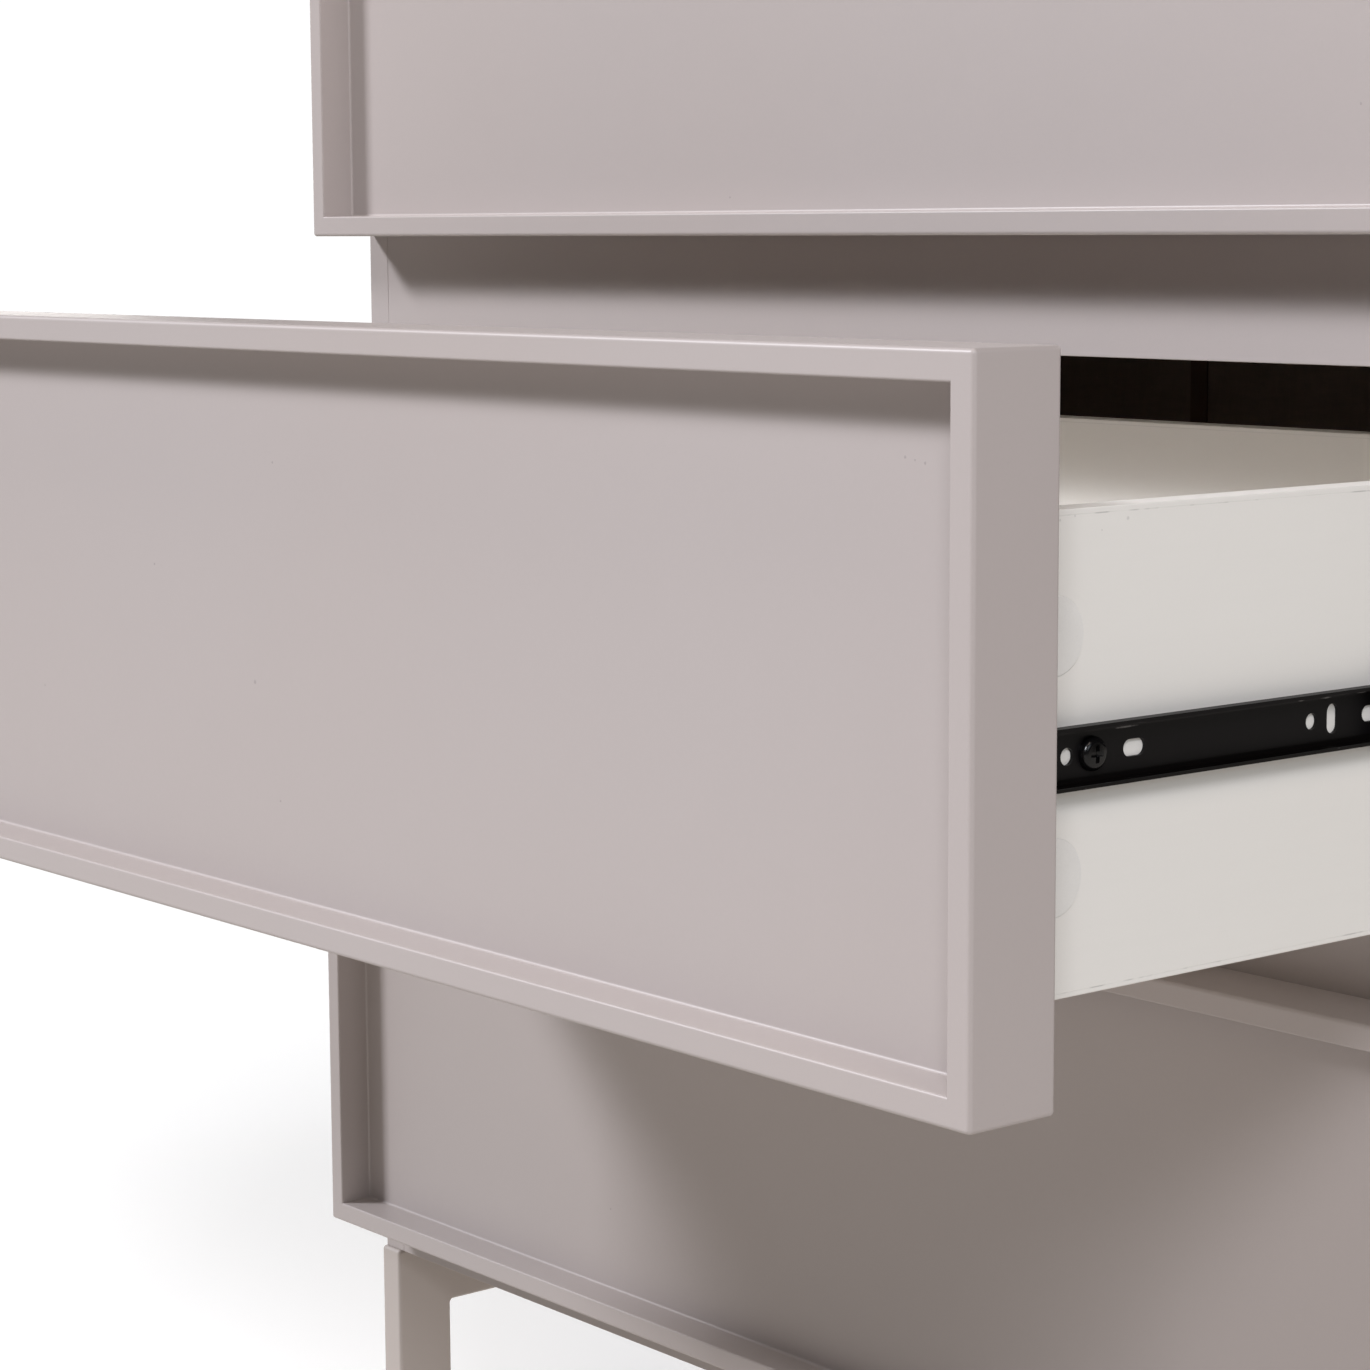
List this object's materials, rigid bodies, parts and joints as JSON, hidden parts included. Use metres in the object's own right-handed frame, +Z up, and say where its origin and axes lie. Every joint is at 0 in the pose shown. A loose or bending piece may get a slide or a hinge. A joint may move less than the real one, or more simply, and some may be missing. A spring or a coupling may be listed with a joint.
{
  "type": "chest of drawers",
  "caption": "Floor-standing chest with stacked wide drawers, raised frame fronts round recessed panels, full-extension slides and flat-section leg frames.",
  "frame": {"origin": "on the floor, midway across the width, and midway between the carcass's back edge and the face of the middle drawer, which is stored 0.3 m open of its 0.4 m, as pictured", "axes": "+X to the right seen from the front, +Y towards the back (the drawers open towards -Y), +Z up"},
  "size_m": [0.804, 0.76, 0.95],
  "materials": {
    "painted_board": "satin lacquer, warm greige",
    "white_foil_board": "matt off-white foil",
    "back_board": "thin dark hardboard",
    "black_steel": "black electrocoat",
    "zinc_steel": "zinc plated",
    "bolt_steel": "zinc plated",
    "screw_steel": "black zinc",
    "leg_paint": "satin powder coat, warm greige",
    "glide_plastic": "black",
    "cap_plastic": "off-white",
    "strip_plastic": "dark brown"
  },
  "bodies": {
    "carcass": {"top_panel": "painted_board", "side_panel_left": "painted_board", "side_panel_right": "painted_board", "bottom_panel": "painted_board", "front_rail_bottom": "painted_board", "front_rail_lower": "painted_board", "front_rail_upper": "painted_board", "front_rail_top": "painted_board", "back_panel_left": "back_board", "back_panel_centre": "back_board", "back_panel_right": "back_board", "back_joint_strips": "strip_plastic", "leg_frame_left": "leg_paint", "leg_frame_right": "leg_paint", "leg_frame_bolts": "bolt_steel", "foot_glides": "glide_plastic", "cabinet_slide_screws": "zinc_steel", "slide_outer_bottom_left": "black_steel", "slide_outer_bottom_right": "black_steel", "slide_outer_middle_left": "black_steel", "slide_outer_middle_right": "black_steel", "slide_outer_top_left": "black_steel", "slide_outer_top_right": "black_steel"},
    "bottom_slide_runners": {"slide_middle_bottom_left": "black_steel", "slide_middle_bottom_right": "black_steel"},
    "bottom_drawer": {"bottom_front_frame": "painted_board", "bottom_front_panel": "painted_board", "bottom_box_side_left": "white_foil_board", "bottom_box_side_right": "white_foil_board", "bottom_box_back": "white_foil_board", "bottom_box_bottom": "white_foil_board", "slide_inner_bottom_left": "black_steel", "slide_inner_bottom_right": "black_steel", "bottom_slide_screws": "screw_steel", "bottom_cover_caps": "cap_plastic"},
    "middle_slide_runners": {"slide_middle_middle_left": "black_steel", "slide_middle_middle_right": "black_steel"},
    "middle_drawer": {"middle_front_frame": "painted_board", "middle_front_panel": "painted_board", "middle_box_side_left": "white_foil_board", "middle_box_side_right": "white_foil_board", "middle_box_back": "white_foil_board", "middle_box_bottom": "white_foil_board", "slide_inner_middle_left": "black_steel", "slide_inner_middle_right": "black_steel", "middle_slide_screws": "screw_steel", "middle_cover_caps": "cap_plastic"},
    "top_slide_runners": {"slide_middle_top_left": "black_steel", "slide_middle_top_right": "black_steel"},
    "top_drawer": {"top_front_frame": "painted_board", "top_front_panel": "painted_board", "top_box_side_left": "white_foil_board", "top_box_side_right": "white_foil_board", "top_box_back": "white_foil_board", "top_box_bottom": "white_foil_board", "slide_inner_top_left": "black_steel", "slide_inner_top_right": "black_steel", "top_slide_screws": "screw_steel", "top_cover_caps": "cap_plastic"}
  },
  "joints": [
    {"name": "bottom_drawer_slide", "type": "slide", "parent": "carcass", "child": "bottom_drawer", "axis": [0, -1, 0], "range_m": [0, 0.4]},
    {"name": "bottom_runner_slide", "type": "slide", "parent": "carcass", "child": "bottom_slide_runners", "axis": [0, -1, 0], "range_m": [0, 0.2]},
    {"name": "middle_drawer_slide", "type": "slide", "parent": "carcass", "child": "middle_drawer", "axis": [0, -1, 0], "range_m": [-0.3, 0.1]},
    {"name": "middle_runner_slide", "type": "slide", "parent": "carcass", "child": "middle_slide_runners", "axis": [0, -1, 0], "range_m": [-0.15, 0.05]},
    {"name": "top_drawer_slide", "type": "slide", "parent": "carcass", "child": "top_drawer", "axis": [0, -1, 0], "range_m": [0, 0.4]},
    {"name": "top_runner_slide", "type": "slide", "parent": "carcass", "child": "top_slide_runners", "axis": [0, -1, 0], "range_m": [0, 0.2]}
  ],
  "couplings": [
    {"joint": "bottom_runner_slide", "follows": "bottom_drawer_slide", "ratio": 0.5},
    {"joint": "middle_runner_slide", "follows": "middle_drawer_slide", "ratio": 0.5},
    {"joint": "top_runner_slide", "follows": "top_drawer_slide", "ratio": 0.5}
  ]
}
